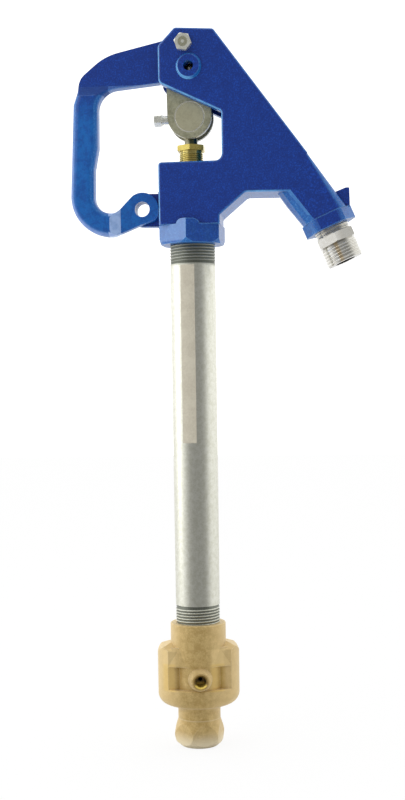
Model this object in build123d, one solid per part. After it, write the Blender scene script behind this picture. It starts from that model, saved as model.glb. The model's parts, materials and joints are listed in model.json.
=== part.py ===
from build123d import *
import math
import os

os.makedirs("parts", exist_ok=True)

# Yard hydrant with a lever head, a short standpipe and a bottom valve.
# Millimetres. Origin: centre of the inlet's mouth. Z runs up the standpipe, X towards the spout,
# Y away from the lever's front face. The handle is down, so the valve is shut.

# General fits
slide_gap = 0.05
loose_gap = 0.3
face_gap = 0.02

# Standpipe
pipe_od = 33.4
pipe_id = 26.6
pipe_length = 316.0
thread_depth = 17.0
thread_shown = 14.0
thread_relief = 0.45
label_width = 10.6
label_height = 130.0
label_drop = 32.0
label_angle = -8.5
label_thick = 0.12

# Valve body, turned on its threads so that the drain faces slightly right
valve_turn = 9.5
valve_height = 95.5
socket_wall = 4.7
socket_edge = 1.0
foot_bottom = 28.4
foot_cone = 26.4
foot_round = 9.5
foot_round_height = 41.7
foot_round_steps = 4
ledge_height = 46.5
ledge_edge = 1.2
drum_radius = 31.1
drum_half_depth = 22.6
wing_half = 14.4
wing_edge_height = 76.3
wing_edge = 2.0
wing_ridge_half = 5.0
wing_ridge = 81.0
wing_ridge_round = 8.0
wing_corner_height = 76.6
wing_corner = 6.5
wing_side_x = 24.0
wing_side_round = 7.0
band_low = 64.0
band_high = 78.0
band_taper = 11.0
neck_radius = 16.2
inlet_flats = 34.0
inlet_hex_height = 10.5
inlet_taper_top = 21.0
inlet_foot_height = 8.5
inlet_foot_in = 1.5
inlet_rim_height = 3.5
inlet_rim_in = 5.5
inlet_hex_turn = -18.0
inlet_thread_radius = 12.2
inlet_thread_depth = 14.0
seat_web = 2.0
seat_lip = 3.0
seat_port_radius = 8.0
seat_lip_wall = 1.8
chamber_radius = 12.5
drain_height = 54.8
drain_boss_base = 9.4
drain_boss_root = 18.0
drain_boss_radius = 7.2
drain_boss_reach = 27.0
drain_ring = 0.9
drain_ring_in = 0.8
drain_thread_radius = 4.1
drain_thread_depth = 10.0
drain_port_radius = 1.6
drain_mouth = 1.0

# Head casting, heights counted from the underside of its collar
half_depth = 17.5
cheek_wall = 8.2
collar_flats = 44.3
collar_height = 13.5
collar_turn = 25.5
collar_bevel = 2.4
collar_bevel_height = 3.4
pad_left = 9.8
pad_right = 7.4
pad_top = 16.9
pad_corner = 4.5
box_left = 22.5
box_top = 58.0
box_corner = 2.5
box_set_in = 1.0
box_right = 21.8
post_left = 23.8
post_fillet = 4.8
cheek_low_drop = 48.1
cheek_left = 21.3
cheek_left_low_drop = 26.7
cheek_left_high_drop = 0.9
cheek_top_left = 9.2
cheek_over_pivot = 11.3
cheek_top_corner = 3.0
arm_start = 18.6
arm_start_drop = 1.8
web_start = 19.5
web_corner = 40.5
web_height = 35.0
casting_edge = 2.0
slot_shoulder_drop = 25.8
slot_top_right = 10.0
slot_over_pivot = 6.2
boss_radius = 9.2
boss_rise = 2.8
boss_crown = 1.3
boss_hole_radius = 3.6
lug_thick = 7.5
lug_gap = 0.8
lug_foot_low = 13.0
lug_foot_high = 40.5
gusset_side = 3.5
gusset_skew = 1.0

# Outlet, on an axis leaning away from the standpipe
outlet_lean = 23.6
outlet_x = 101.9
outlet_height = 9.5
outlet_flats = 35.0
outlet_turned_radius = 19.1
outlet_collar_height = 9.0
outlet_bevel = 1.2
spout_bend_x = 85.2
spout_bend = 61.2
spout_fork_x = 74.1
spout_fork = 34.5
spout_overlap = 0.5
spout_inset = 0.1
spout_root_back = 20.0
spout_root_reach = 22.0
spout_left_fall = 54.1
root_facet_end = 6.3
root_side_end = 9.8
root_side_half = 12.6
root_back_half = 5.0
mouth_right = 15.6
mouth_front_left = 9.2
mouth_facet_left = 15.4
mouth_left = 17.7
mouth_half = 16.6
mouth_side_half = 10.8
mouth_back_half = 4.0
mouth_corner = 9.5
facet_round = 1.0
side_round = 2.5
outlet_thread_radius = 12.2
outlet_thread_depth = 14.0
outlet_port_radius = 7.0
outlet_port_depth = 34.0
waterway_radius = 8.5
elbow_room = 0.5
waterway_rise = 21.6
waterway_top_x = 58.0
waterway_top = 68.5
head_chamber_radius = 11.5
head_chamber_roof = 27.5
horn_root_x = 104.0
horn_root = 34.5
horn_shoulder_x = 112.4
horn_top = 37.7
horn_tip_x = 114.9
horn_foot_x = 115.4
horn_foot = 24.0
horn_half_width = 4.5
horn_round = 1.5
horn_tip_round = 0.8

# Linkage centres, heights counted from the collar's underside
pivot_x = -2.7
crank_offset = 3.6
crank_drop = 16.2
link_reach = 33.4
connector_clearance = 7.0

# Lever
lever_half = 4.5
grip_half = 8.0
grip_edge = 5.0
hub_radius = 9.2
crank_end_radius = 8.0
arm_root_x = 21.0
arm_root_rise = 5.3
arm_root_drop = 23.8
arm_crest_x = 62.0
arm_crest_drop = 3.3
arm_crest_corner = 42.0
arm_elbow_x = 81.4
arm_elbow_drop = 18.7
arm_elbow_corner = 13.0
swell_top_x = 82.9
swell_top_drop = 9.6
swell_x = 86.2
swell_length = 9.0
swell_ramp = 5.5
grip_lower_x = 91.2
grip_bottom = 7.7
grip_bottom_corner = 29.4
grip_rise_x = 58.0
grip_rise_corner = 9.0
palm_top_x = 68.0
palm_top_drop = 9.3
palm_corner = 15.0
palm_step_x = 68.6
palm_length = 40.3
palm_step_run = 8.0
palm_waist_x = 71.6
palm_waist_length = 15.0
palm_low_x = 72.4
palm_bottom = 24.7
palm_low_corner = 12.0
palm_rise_x = 56.1
palm_rise_corner = 7.5
tab_x = -36.8
tab_height = 27.0
tab_radius = 12.0
tab_hole_radius = 5.5
tab_front = 2.5
tab_back = 3.5
tab_heel_x = 38.3
tab_heel_drop = 11.6
tab_side_drop = 7.2
tab_round_room = 0.1
tab_ramp_x = 60.5
tab_ramp_run = 7.5

# Pivot bolt and nut
bolt_radius = 3.97
bolt_flats = 11.1
bolt_head = 4.4
bolt_bevel = 0.8
bolt_turn = 10.0
nut_turn = 40.0
bolt_spare = 2.5
nut_height = 6.0

# Link plates and their upper pin
link_thick = 4.0
link_side_gap = 0.35
link_low_radius = 16.1
link_low_rise = 1.0
link_high_radius = 6.6
link_shoulder_x = 12.4
link_shoulder_rise = 20.3
link_shoulder_radius = 4.0
link_pin_radius = 3.4
link_pin_bore = 1.9
link_pin_slit = 0.8
link_slot_gap = 0.3
link_swing = 36.0
lever_swing = 90.0
rod_lift = 18.4
slot_steps = 9

# Connector on the rod
journal_radius = 10.6
journal_chamfer = 0.4
connector_radius = 12.4
rod_radius = 4.76
rod_in_connector = 8.0
clamp_radius = 3.17
clamp_flats = 8.0
clamp_head = 5.6
clamp_reach = 26.8
clamp_washer_radius = 3.8
clamp_washer = 1.0

# Packing
nut_flats = 19.05
nut_hex_height = 3.9
nut_bevel = 0.6
nut_neck_radius = 8.3
nut_neck_shown = 9.4
nut_neck_sunk = 14.0
follower_thick = 2.0
packing_ring_thick = 3.2
packing_count = 3

# Plunger
seal_radius = 11.0
seal_thick = 4.0
flange_radius = 10.0
flange_thick = 1.0
stem_radius = 7.0
stem_height = 4.0
stem_hole_radius = 1.7
piston_height = 24.0
piston_roof = 8.0
piston_core_radius = 5.5
piston_hollow_radius = 9.2
piston_hollow_height = 9.0
piston_hole_radius = 1.8
piston_hole_circle = 7.6
port_count = 6
ring_section = 1.3
ring_groove = 2.1
ring_low = 2.5
ring_high = 20.0
seal_screw_radius = 3.2
seal_screw_head_radius = 5.6
seal_screw_head = 2.6
seal_screw_reach = 9.0
screw_slot_width = 1.2
screw_slot_depth = 1.0
piston_gap = 0.15

# Hose nipple
nipple_shown = 5.0
nipple_flats = 26.6
nipple_hex = 6.6
nipple_bevel = 0.9
nipple_neck = 1.2
nipple_neck_radius = 11.8
hose_thread_radius = 13.0
hose_thread_length = 13.0
nipple_bore = 7.5

# Places that follow from the sizes
pipe_radius = pipe_od / 2
pipe_bottom = valve_height - thread_depth
pipe_top = pipe_bottom + pipe_length
head_base = pipe_top - thread_depth
thread_radius = pipe_radius - thread_relief
socket_bore = thread_radius + slide_gap
slot_half = half_depth - cheek_wall
drain_front = -drain_boss_reach
ring_front = drain_front - drain_ring
chamber_floor = inlet_thread_depth + seat_web
seat_top = chamber_floor + seat_lip
plunger_base = seat_top
piston_base = plunger_base + seal_thick + flange_thick + stem_height
piston_top = piston_base + piston_height
rod_bottom = piston_top - piston_roof + face_gap
rod_pin_height = box_top + nut_neck_shown + nut_hex_height + connector_clearance + connector_radius
crank_height = rod_pin_height + link_reach
crank_x = pivot_x + crank_offset
pivot_height = crank_height + crank_drop
cheek_low = pivot_height - cheek_low_drop
cheek_left_low = pivot_height - cheek_left_low_drop
cheek_left_high = pivot_height - cheek_left_high_drop
cheek_top = pivot_height + cheek_over_pivot
arm_start_height = cheek_top - arm_start_drop
slot_shoulder = pivot_height - slot_shoulder_drop
slot_top_height = pivot_height + slot_over_pivot
link_shoulder_height = rod_pin_height + link_shoulder_rise
arm_root_top = pivot_height + arm_root_rise
arm_root_low = pivot_height - arm_root_drop
arm_crest = pivot_height - arm_crest_drop
arm_elbow = pivot_height - arm_elbow_drop
swell_top = arm_elbow - swell_top_drop
swell_height = swell_top - swell_length
palm_top = arm_elbow - palm_top_drop
palm_step_height = palm_top - palm_length
palm_waist_height = palm_step_height - palm_waist_length
tab_heel_height = tab_height - tab_heel_drop
tab_side_height = tab_height - tab_side_drop
lean_x = math.sin(math.radians(outlet_lean))
lean_z = math.cos(math.radians(outlet_lean))
packing_floor = box_top - nut_neck_sunk - follower_thick - packing_count * packing_ring_thick


def in_head(shape):
    """Lifts a shape from the head's own heights to its place on the standpipe."""
    return Pos(0, 0, head_base) * shape


def outline(corners):
    """A face in the XZ plane from corners given as x, z and corner radius."""
    points = [(x, z) for x, z, _ in corners]
    radii = [radius for _, _, radius in corners]
    return make_face(Plane.XZ * FilletPolyline(*points, radius=radii, close=True))


def slab(face, near, far):
    """Extrudes a face of the XZ plane between two places along Y."""
    return extrude(Pos(0, far, 0) * face, amount=far - near, dir=(0, -1, 0))


def rod_along_y(x, z, radius, near, far):
    """A round bar parallel to Y."""
    turned = Rot(90, 0, 0) * Cylinder(radius, far - near)
    return Pos(x, (near + far) / 2, z) * turned


def upright(radius, low, high):
    """A round bar on the Z axis."""
    return Pos(0, 0, (low + high) / 2) * Cylinder(radius, high - low)


def hexagon(flats, low, high, turn=0.0):
    """A hexagonal bar on the Z axis with one corner at the given turn from +X."""
    face = RegularPolygon(flats / 2, 6, major_radius=False, rotation=turn)
    return extrude(Pos(0, 0, low) * face, amount=high - low)


def cone_frustum(low_radius, high_radius, low, high):
    """A cone piece on the Z axis, used to bevel the corners of hexagons."""
    return Pos(0, 0, (low + high) / 2) * Cone(low_radius, high_radius, high - low)


def on_outlet(shape):
    """Places a shape drawn along +Z on the outlet's axis, pointing back up the spout."""
    return Pos(outlet_x, 0, outlet_height) * Rot(0, -outlet_lean, 0) * shape


def tube_between(start, end, radius):
    """A round bar between two points of the XZ plane."""
    run = math.dist(start, end)
    tilt = math.degrees(math.atan2(end[0] - start[0], end[1] - start[1]))
    middle = ((start[0] + end[0]) / 2, 0, (start[1] + end[1]) / 2)
    return Pos(*middle) * Rot(0, tilt, 0) * Cylinder(radius, run)


def beveled_hex(flats, low, high, turn, bevel):
    """A hexagonal bar whose top and bottom corners are turned off."""
    corner = flats / math.sqrt(3)
    top = cone_frustum(corner + bevel, corner - bevel, high - bevel, high)
    bottom = cone_frustum(corner - bevel, corner + bevel, low, low + bevel)
    body = upright(corner + bevel, low + bevel, high - bevel)
    return hexagon(flats, low, high, turn) & (top + bottom + body)


# Standpipe and label


def standpipe():
    body = upright(pipe_radius, pipe_bottom + thread_depth + thread_shown,
                   pipe_top - thread_depth - thread_shown)
    body += upright(thread_radius, pipe_bottom, pipe_top)
    return body - upright(pipe_id / 2, pipe_bottom, pipe_top)


def pipe_label():
    sweep = math.degrees(label_width / pipe_radius)
    low = head_base - label_drop + pipe_od / 2 - label_height
    skin = upright(pipe_radius + label_thick, low, low + label_height)
    skin -= upright(pipe_radius + face_gap, low, low + label_height)
    wedge_reach = pipe_od
    half = math.radians(sweep / 2)
    wedge = make_face(Polyline((0, 0), (wedge_reach * math.sin(half), -wedge_reach * math.cos(half)),
                               (-wedge_reach * math.sin(half), -wedge_reach * math.cos(half)),
                               close=True))
    window = extrude(Pos(0, 0, low) * wedge, amount=label_height)
    return Rot(0, 0, label_angle) * (skin & window)


# Valve body


def valve_foot():
    """The oval foot, which narrows below from the drum's oval to the round neck."""
    rims = [(neck_radius, foot_bottom)]
    for step in range(foot_round_steps + 1):
        turn = math.radians(foot_cone + (90 - foot_cone) * step / foot_round_steps)
        rims.append((drum_radius - foot_round * (1 - math.sin(turn)),
                     foot_round_height - foot_round * math.cos(turn)))
    narrowing = (drum_half_depth - neck_radius) / (drum_radius - neck_radius)
    rings = [Pos(0, 0, z) * Ellipse(radius, neck_radius + (radius - neck_radius) * narrowing)
             for radius, z in rims]
    oval = extrude(rings[-1], amount=ledge_height - foot_round_height)
    oval = fillet(oval.edges().group_by(Axis.Z)[-1], ledge_edge)
    return loft([ring.face() for ring in rings]) + oval


def valve_wings():
    """The lug on each side of the barrel, with a ridged top that slopes to front and back."""
    plan = Pos(0, 0, foot_round_height) * Ellipse(drum_radius, drum_half_depth)
    body = extrude(plan, amount=wing_ridge)
    socket_radius = socket_bore + socket_wall
    side_view = outline([
        (-drum_radius, foot_round_height, 0),
        (-drum_radius, wing_corner_height, wing_corner),
        (-socket_radius, wing_ridge, 0),
        (socket_radius, wing_ridge, 0),
        (drum_radius, wing_corner_height, wing_corner),
        (drum_radius, foot_round_height, 0),
    ])
    end_view = make_face(Plane.YZ * FilletPolyline(
        (-wing_half, foot_round_height), (-wing_half, wing_edge_height), (-wing_ridge_half, wing_ridge),
        (wing_ridge_half, wing_ridge), (wing_half, wing_edge_height), (wing_half, foot_round_height),
        radius=[0, wing_edge, wing_ridge_round, wing_ridge_round, wing_edge, 0], close=True))
    body &= slab(side_view, -drum_radius, drum_radius)
    body &= extrude(Pos(-drum_radius, 0, 0) * end_view, amount=2 * drum_radius, dir=(1, 0, 0))
    return body


def valve_band():
    """The fuller band over the pockets, which dies out upwards into the barrel and the wings."""
    barrel = Circle(socket_bore + socket_wall)
    wings = Rectangle(2 * wing_side_x, 2 * wing_half)
    plan = make_face(make_hull(barrel.edges() + wings.edges()))
    return extrude(Pos(0, 0, band_low) * plan, amount=band_high - band_low, taper=band_taper)


def valve_shell():
    socket_radius = socket_bore + socket_wall
    barrel = upright(socket_radius, foot_round_height, valve_height)
    barrel = fillet(barrel.edges().group_by(Axis.Z)[-1], socket_edge)
    return barrel + upright(neck_radius, inlet_hex_height, foot_round_height) + valve_foot() \
        + valve_wings() + valve_band()


def drain_boss():
    """The tapered boss round the drain's thread."""
    boss = cone_frustum(drain_boss_base, drain_boss_radius, drain_boss_root, drain_boss_reach)
    boss += cone_frustum(drain_boss_radius, drain_boss_radius - drain_ring_in,
                         drain_boss_reach, drain_boss_reach + drain_ring)
    return Pos(0, 0, drain_height) * Rot(90, 0, 0) * boss


def valve_body():
    body = valve_shell()
    corner = inlet_flats / math.sqrt(3)
    hex_blank = hexagon(inlet_flats, 0, inlet_taper_top, inlet_hex_turn - 90)
    turned = cone_frustum(corner, neck_radius, inlet_hex_height, inlet_taper_top)
    turned += upright(corner, inlet_foot_height, inlet_hex_height)
    turned += cone_frustum(corner - inlet_foot_in, corner, inlet_rim_height, inlet_foot_height)
    turned += cone_frustum(corner - inlet_rim_in, corner - inlet_foot_in, 0, inlet_rim_height)
    body += hex_blank & turned
    body += drain_boss()
    body -= upright(inlet_thread_radius, 0, inlet_thread_depth)
    body -= upright(seat_port_radius, 0, seat_top)
    lip = upright(seat_port_radius + seat_lip_wall, chamber_floor, seat_top)
    body -= upright(chamber_radius, chamber_floor, pipe_bottom) - lip
    body -= upright(socket_bore, pipe_bottom - slide_gap, valve_height)
    body -= rod_along_y(0, drain_height, drain_thread_radius, ring_front, drain_front + drain_thread_depth)
    body -= rod_along_y(0, drain_height, drain_port_radius, drain_front, 0)
    mouth = Cone(drain_thread_radius + 2 * drain_mouth, drain_thread_radius, 2 * drain_mouth)
    body -= Pos(0, ring_front, drain_height) * Rot(-90, 0, 0) * mouth
    return Rot(0, 0, valve_turn) * body


# Head casting


def outlet_point(along, across):
    """A point given along and across the outlet's axis, from the centre of its mouth."""
    return (outlet_x - lean_x * along + lean_z * across, outlet_height + lean_z * along + lean_x * across)


def head_profile():
    """The side outline of the box, the post, the cheeks and the arm in one piece."""
    return outline([
        (-box_left, collar_height, 0),
        (-box_left, box_top, box_corner),
        (post_left, box_top, post_fillet),
        (post_left, cheek_low, post_fillet / 2),
        (-cheek_left, cheek_left_low, post_fillet),
        (-cheek_left, cheek_left_high, post_fillet),
        (-cheek_top_left, cheek_top, cheek_top_corner),
        (arm_start, arm_start_height, cheek_top_corner),
        (spout_bend_x, spout_bend, 0),
        (spout_fork_x, spout_fork, 0),
        (web_corner, web_height, post_fillet),
        (box_right, web_start, post_fillet / 2),
        (box_right, collar_height, 0),
    ])


def rounded_casting(face):
    """The extruded outline with its long front and back edges rounded."""
    body = slab(face, -half_depth, half_depth)
    rims = body.edges().filter_by(lambda edge: abs(abs(edge.center().Y) - half_depth) < face_gap)
    cut_end = ((spout_bend_x + spout_fork_x) / 2, (spout_bend + spout_fork) / 2)
    kept = [edge for edge in rims
            if edge.center().Z > collar_height + face_gap
            and math.dist((edge.center().X, edge.center().Z), cut_end) > casting_edge]
    return fillet(kept, casting_edge)


def spout_ring(right, front_left, facet_left, left, front_half, facet_half, back_half, corner):
    """The spout's section: rounded on the right, with two facets on each left corner."""
    points = [(-right, -front_half), (front_left, -front_half), (facet_left, -facet_half), (left, -back_half),
              (left, back_half), (facet_left, facet_half), (front_left, front_half), (-right, front_half)]
    rounds = [corner, facet_round, side_round, side_round, side_round, side_round, facet_round, corner]
    return make_face(FilletPolyline(*points, radius=rounds, close=True))


def spout_end():
    """The spout, which grows out of the arm's end and narrows to the collar."""
    run = math.dist((spout_bend_x, spout_bend), (spout_fork_x, spout_fork))
    down = Vector((spout_fork_x - spout_bend_x) / run, 0, (spout_fork - spout_bend) / run)
    outward = Vector(-down.Z, 0, down.X)
    start = Vector(spout_bend_x, 0, spout_bend) - outward * spout_overlap
    plane = Plane(origin=start, x_dir=down, z_dir=outward)
    root = plane * spout_ring(-2 * spout_inset, run, run + root_facet_end, run + root_side_end,
                              half_depth - spout_inset, root_side_half, root_back_half,
                              casting_edge + spout_inset)
    flip = Plane(origin=(0, 0, outlet_collar_height), x_dir=(-1, 0, 0), z_dir=(0, 0, -1))
    mouth = on_outlet(flip * spout_ring(mouth_right, mouth_front_left, mouth_facet_left, mouth_left,
                                        mouth_half, mouth_side_half, mouth_back_half, mouth_corner))
    back = plane * spout_ring(-spout_root_back, run, run + root_facet_end, run + root_side_end,
                              half_depth - spout_inset, root_side_half, root_back_half, facet_round)
    along_left = Vector(-math.cos(math.radians(spout_left_fall)), 0, math.sin(math.radians(spout_left_fall)))
    return loft([root.face(), mouth.face()]) + extrude(back, amount=spout_root_reach, dir=along_left)


def horn():
    """The small hook on the spout that keeps a bucket's bail in place."""
    face = outline([
        (horn_root_x, horn_root, 0),
        (horn_shoulder_x, horn_top, horn_round),
        (horn_tip_x, horn_top, horn_tip_round),
        (horn_foot_x, horn_foot, 0),
        (horn_root_x, horn_foot, 0),
    ])
    return slab(face, -horn_half_width, horn_half_width)


def collar():
    """The hexagonal collar with its corners turned off below and a pad up each side of the box."""
    corner = collar_flats / math.sqrt(3)
    turned = cone_frustum(corner - collar_bevel, corner, 0, collar_bevel_height)
    turned += upright(corner, collar_bevel_height, collar_height)
    body = hexagon(collar_flats, 0, collar_height, collar_turn) & turned
    arch = outline([
        (-pad_left, 0, 0), (-pad_left, pad_top, pad_corner),
        (pad_right, pad_top, pad_corner), (pad_right, 0, 0),
    ])
    front = slab(arch, -corner, 0) & hexagon(collar_flats, collar_bevel_height, pad_top, collar_turn)
    return body + front + Rot(0, 0, 180) * front


def lock_lug():
    """The fixed ear beside the lever's tab; a padlock's shackle passes through both."""
    foot_middle = (lug_foot_low + lug_foot_high) / 2
    ear = make_hull((Pos(tab_x, tab_height) * Circle(tab_radius)).edges()
                    + (Pos(-box_left, foot_middle) * Rectangle(2 * box_set_in, 2 * tab_radius)).edges())
    face = Plane.XZ * make_face(ear)
    near = tab_back + lug_gap
    body = slab(face, near, near + lug_thick)
    inside = -box_left + box_set_in
    for sign, z in ((1, lug_foot_high), (-1, lug_foot_low)):
        gusset = outline([
            (inside, z + sign * gusset_side, 0),
            (-box_left - gusset_side, z - sign * gusset_skew, 0),
            (inside, z - sign * gusset_side, 0),
        ])
        body += slab(gusset, near, near + lug_thick)
    return body


def waterway():
    """The hollow from the standpipe's socket to the outlet."""
    start = (0, waterway_rise)
    top = (waterway_top_x, waterway_top)
    end = outlet_point(outlet_port_depth, 0)
    hollow = upright(socket_bore, 0, thread_depth)
    hollow += upright(head_chamber_radius, thread_depth, head_chamber_roof)
    hollow += tube_between(start, top, waterway_radius)
    hollow += rod_along_y(*top, waterway_radius + elbow_room, -waterway_radius, waterway_radius)
    hollow += tube_between(top, end, outlet_port_radius)
    hollow += rod_along_y(*end, outlet_port_radius + elbow_room, -outlet_port_radius, outlet_port_radius)
    hollow += on_outlet(upright(outlet_thread_radius, 0, outlet_thread_depth))
    hollow += on_outlet(upright(outlet_port_radius, 0, outlet_port_depth))
    return hollow


def head_casting():
    arm = rounded_casting(head_profile())
    body = arm + spout_end() + horn()
    body += collar()
    body += on_outlet(beveled_hex(outlet_flats, 0, outlet_collar_height, 0, outlet_bevel)
                      & upright(outlet_turned_radius, 0, outlet_collar_height))
    body += lock_lug()
    for side in (-1, 1):
        ring = Pos(0, 0, boss_rise / 2) * Cone(boss_radius, boss_radius - boss_crown, boss_rise)
        ring = fillet(ring.edges().group_by(Axis.Z)[-1], boss_crown)
        body += Pos(crank_x, side * half_depth, crank_height) * Rot(-90 * side, 0, 0) * ring
    slot = outline([
        (-2 * cheek_left, box_top + post_fillet, 0),
        (post_left, box_top + post_fillet, 0),
        (post_left, slot_shoulder, post_fillet),
        (slot_top_right, slot_top_height, 0),
        (slot_top_right, cheek_top + post_fillet, 0),
        (-2 * cheek_left, cheek_top + post_fillet, 0),
    ])
    body -= slab(slot, -slot_half, slot_half)
    through = half_depth + boss_rise
    body -= rod_along_y(crank_x, crank_height, boss_hole_radius, -through, through)
    body -= rod_along_y(pivot_x, pivot_height, bolt_radius + slide_gap, -through, through)
    body -= rod_along_y(tab_x, tab_height, tab_hole_radius, -through, through)
    body -= waterway()
    body -= upright(nut_neck_radius + slide_gap, packing_floor, box_top)
    body -= upright(rod_radius + loose_gap, head_chamber_roof - loose_gap, packing_floor)
    return in_head(body)


# Lever


def lever_outline():
    """The arm, the grip and the padlock tab as one closed outline seen from the front."""
    tab_right = tab_x + tab_radius
    tab_top = tab_height + tab_radius
    tab_round = tab_radius - tab_round_room
    return outline([
        (pivot_x + hub_radius, pivot_height + hub_radius, hub_radius - face_gap),
        (pivot_x - hub_radius / 2, pivot_height + hub_radius, hub_radius / 2),
        (-arm_root_x, arm_root_top, hub_radius),
        (-arm_crest_x, arm_crest, arm_crest_corner),
        (-arm_elbow_x, arm_elbow, arm_elbow_corner),
        (-swell_top_x, swell_top, swell_ramp),
        (-swell_x, swell_height, swell_ramp),
        (-grip_lower_x, grip_bottom, grip_bottom_corner),
        (-grip_rise_x, grip_bottom, grip_rise_corner),
        (-tab_heel_x, tab_heel_height, tab_radius),
        (tab_right, tab_side_height, tab_radius / 2),
        (tab_right, tab_top, tab_round),
        (tab_x - tab_radius * math.tan(math.radians(22.5)), tab_top, tab_round),
        (-palm_rise_x, palm_bottom, palm_rise_corner),
        (-palm_low_x, palm_bottom, palm_low_corner),
        (-palm_waist_x, palm_waist_height, palm_step_run),
        (-palm_step_x, palm_step_height, palm_step_run),
        (-palm_top_x, palm_top, palm_corner),
        (-arm_root_x, arm_root_low, hub_radius),
        (crank_x + crank_end_radius, crank_height - crank_end_radius, crank_end_radius - face_gap),
    ])


def lever():
    face = lever_outline()
    body = slab(face, -grip_half, grip_half)
    rims = body.edges().filter_by(lambda edge: abs(abs(edge.center().Y) - grip_half) < face_gap)
    grip_rims = [edge for edge in rims
                 if edge.center().X < -palm_rise_x and edge.center().Z < arm_elbow]
    body = fillet(grip_rims, grip_edge)
    step = grip_half - lever_half
    reach = 2 * grip_lower_x
    for side in (-1, 1):
        high = swell_top
        above = make_face(Plane.YZ * Polyline(
            (side * grip_half, high - step), (side * lever_half, high + step),
            (side * lever_half, reach), (side * 2 * grip_half, reach), (side * 2 * grip_half, high - step),
            close=True))
        body -= extrude(Pos(-reach, 0, 0) * above, amount=2 * reach, dir=(1, 0, 0))
    for side, keep in ((-1, tab_front), (1, tab_back)):
        start = -tab_ramp_x
        beside = make_face(Polyline(
            (start, side * grip_half), (start + tab_ramp_run, side * keep),
            (0, side * keep), (0, side * 2 * grip_half), (start, side * 2 * grip_half), close=True))
        body -= extrude(beside, amount=2 * tab_height)
    through = 2 * grip_half
    body -= rod_along_y(pivot_x, pivot_height, bolt_radius + slide_gap, -through, through)
    body -= rod_along_y(crank_x, crank_height, link_pin_radius + face_gap, -through, through)
    body -= rod_along_y(tab_x, tab_height, tab_hole_radius, -through, through)
    return in_head(body)


# Pivot bolt and nut


def pivot_bolt():
    shank = rod_along_y(pivot_x, pivot_height, bolt_radius, -half_depth,
                        half_depth + nut_height + bolt_spare)
    head = Rot(-90, 0, 0) * beveled_hex(bolt_flats, 0, bolt_head, bolt_turn, bolt_bevel)
    head = Pos(pivot_x, -half_depth - bolt_head, pivot_height) * head
    return in_head(shank + head)


def pivot_nut():
    blank = Rot(-90, 0, 0) * beveled_hex(bolt_flats, 0, nut_height, nut_turn, bolt_bevel)
    blank = Pos(pivot_x, half_depth, pivot_height) * blank
    blank -= rod_along_y(pivot_x, pivot_height, bolt_radius + slide_gap, 0, 3 * half_depth)
    return in_head(blank)


# Link plates, their upper pin and the connector


def link_inner():
    return lever_half + link_side_gap


def turned(x, z, angle):
    """Turns a point of the XZ plane about +Y."""
    cosine, sine = math.cos(math.radians(angle)), math.sin(math.radians(angle))
    return x * cosine + z * sine, z * cosine - x * sine


def pin_in_link(share):
    """Where the upper pin lies on the link plate with the lever turned by a share of its swing."""
    swung_x, swung_z = turned(crank_x - pivot_x, crank_height - pivot_height, share * lever_swing)
    from_rod_x = pivot_x + swung_x
    from_rod_z = pivot_height + swung_z - rod_pin_height - share * rod_lift
    return turned(from_rod_x, from_rod_z, share * link_swing)


def link_plate(near):
    low = Pos(0, rod_pin_height + link_low_rise) * Circle(link_low_radius)
    high = Pos(crank_x, crank_height) * Circle(link_high_radius)
    shoulder = Pos(-link_shoulder_x, link_shoulder_height) * Circle(link_shoulder_radius)
    face = Plane.XZ * make_face(make_hull(low.edges() + high.edges() + shoulder.edges()))
    body = slab(face, near, near + link_thick)
    far = near + link_thick
    body -= rod_along_y(0, rod_pin_height, journal_radius + slide_gap, near, far)
    rims = body.edges().filter_by(GeomType.CIRCLE)
    rims = rims.filter_by(lambda edge: abs(edge.radius - journal_radius - slide_gap) < face_gap)
    body = chamfer(rims, journal_chamfer)
    rounds = []
    for step in range(slot_steps + 1):
        x, z = pin_in_link(step / slot_steps)
        rounds += (Pos(x, rod_pin_height + z) * Circle(link_pin_radius + link_slot_gap)).edges()
    slot = Plane.XZ * make_face(make_hull(rounds))
    return in_head(body - slab(slot, near, far))


def link_pin():
    reach = link_inner() + link_thick
    body = rod_along_y(crank_x, crank_height, link_pin_radius, -reach, reach)
    body -= rod_along_y(crank_x, crank_height, link_pin_bore, -reach, reach)
    gap = Pos(crank_x, 0, crank_height + link_pin_radius) * Box(link_pin_slit, 2 * reach, 2 * link_pin_radius)
    return in_head(body - gap)


def rod_connector():
    reach = link_inner() + link_thick
    body = rod_along_y(0, rod_pin_height, journal_radius, -reach, reach)
    body = chamfer(body.edges().filter_by(GeomType.CIRCLE), journal_chamfer)
    body += rod_along_y(0, rod_pin_height, connector_radius, -lever_half, lever_half)
    body -= upright(rod_radius + slide_gap, 0, rod_pin_height + rod_in_connector)
    hole = Rot(0, 90, 0) * Cylinder(clamp_radius + slide_gap, connector_radius)
    return in_head(body - Pos(-connector_radius / 2, 0, rod_pin_height) * hole)


def clamp_screw():
    tip = rod_radius + face_gap
    under_head = clamp_reach - clamp_head
    shank = Rot(0, 90, 0) * Cylinder(clamp_radius, under_head - tip)
    shank = Pos(-(under_head + tip) / 2, 0, rod_pin_height) * shank
    head = Rot(0, 90, 0) * beveled_hex(clamp_flats, 0, clamp_head, 0, bolt_bevel)
    washer = Rot(0, 90, 0) * Cylinder(clamp_washer_radius, clamp_washer)
    head += Pos(clamp_head + clamp_washer / 2, 0, 0) * washer
    return in_head(shank + Pos(-clamp_reach, 0, rod_pin_height) * head)


# Rod and plunger


def operating_rod():
    top = head_base + rod_pin_height + rod_in_connector - face_gap
    return upright(rod_radius, rod_bottom, top)


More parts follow.
